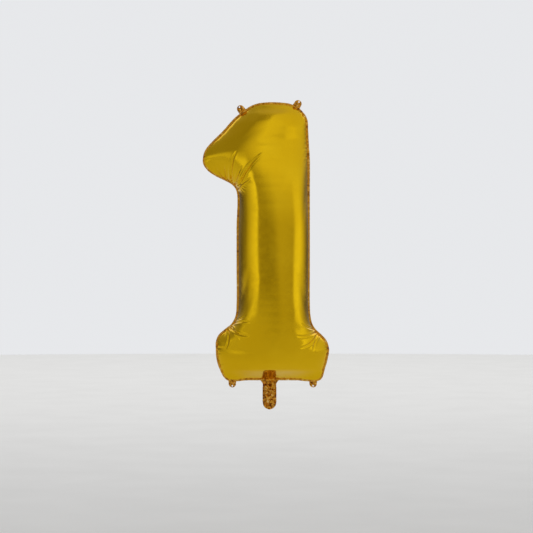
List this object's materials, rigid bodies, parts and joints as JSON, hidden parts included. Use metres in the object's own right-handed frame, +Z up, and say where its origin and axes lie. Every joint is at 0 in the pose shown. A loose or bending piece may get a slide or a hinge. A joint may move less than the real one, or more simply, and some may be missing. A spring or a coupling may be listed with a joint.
{
  "type": "foil number balloon",
  "caption": "Inflated metallised-film balloon shaped as the figure one, with a heat-sealed rim, filling neck, inner valve and hanging tabs.",
  "frame": {"origin": "middle of the base seam in the seal plane, where the neck leaves it and the balloon is tied", "axes": "+Z up the figure, +X to the right as the figure is read, the front faces -Y and the seal lies in Y = 0"},
  "size_m": [0.394, 0.2, 0.9701],
  "materials": {
    "gold_foil": "metallised film, bright gold, satin gloss",
    "sealed_foil": "two metallised films welded together, puckered gold",
    "valve_film": "clear polyethylene film, slightly milky",
    "release_ink": "heat-resistant release ink, matt"
  },
  "bodies": {
    "envelope": {"front_foil_panel": "gold_foil", "back_foil_panel": "gold_foil", "heat_seal_rim": "sealed_foil"},
    "neck": {"neck_front_film": "gold_foil", "neck_back_film": "gold_foil", "neck_left_weld": "sealed_foil", "neck_right_weld": "sealed_foil"},
    "valve": {"valve_front_film": "valve_film", "valve_back_film": "valve_film", "valve_left_weld": "valve_film", "valve_right_weld": "valve_film", "valve_release_ink": "release_ink"},
    "top_left_tab": {"top_left_tab": "gold_foil"},
    "top_right_tab": {"top_right_tab": "gold_foil"},
    "base_left_tab": {"base_left_tab": "gold_foil"},
    "base_right_tab": {"base_right_tab": "gold_foil"}
  },
  "joints": [
    {"name": "neck_fold", "type": "hinge", "parent": "envelope", "child": "neck", "pos_m": [0, 0, -0.006], "axis": [-1, 0, 0], "range_deg": [-85, 85], "stiffness_Nm_per_rad": 0.0006},
    {"name": "valve_swing", "type": "hinge", "parent": "envelope", "child": "valve", "pos_m": [0, 0, 0.006], "axis": [1, 0, 0], "range_deg": [-25, 25], "stiffness_Nm_per_rad": 0.003},
    {"name": "top_left_fold", "type": "hinge", "parent": "envelope", "child": "top_left_tab", "pos_m": [-0.08453, 0, 0.83385], "axis": [0.809, 0, 0.5878], "range_deg": [-85, 85], "stiffness_Nm_per_rad": 0.0003},
    {"name": "top_right_fold", "type": "hinge", "parent": "envelope", "child": "top_right_tab", "pos_m": [0.084, 0, 0.8492], "axis": [0.866, 0, -0.5], "range_deg": [-85, 85], "stiffness_Nm_per_rad": 0.0003},
    {"name": "base_left_fold", "type": "hinge", "parent": "envelope", "child": "base_left_tab", "pos_m": [-0.116, 0, -0.006], "axis": [-1, 0, 0], "range_deg": [-85, 85], "stiffness_Nm_per_rad": 0.0003},
    {"name": "base_right_fold", "type": "hinge", "parent": "envelope", "child": "base_right_tab", "pos_m": [0.136, 0, -0.006], "axis": [-1, 0, 0], "range_deg": [-85, 85], "stiffness_Nm_per_rad": 0.0003}
  ]
}
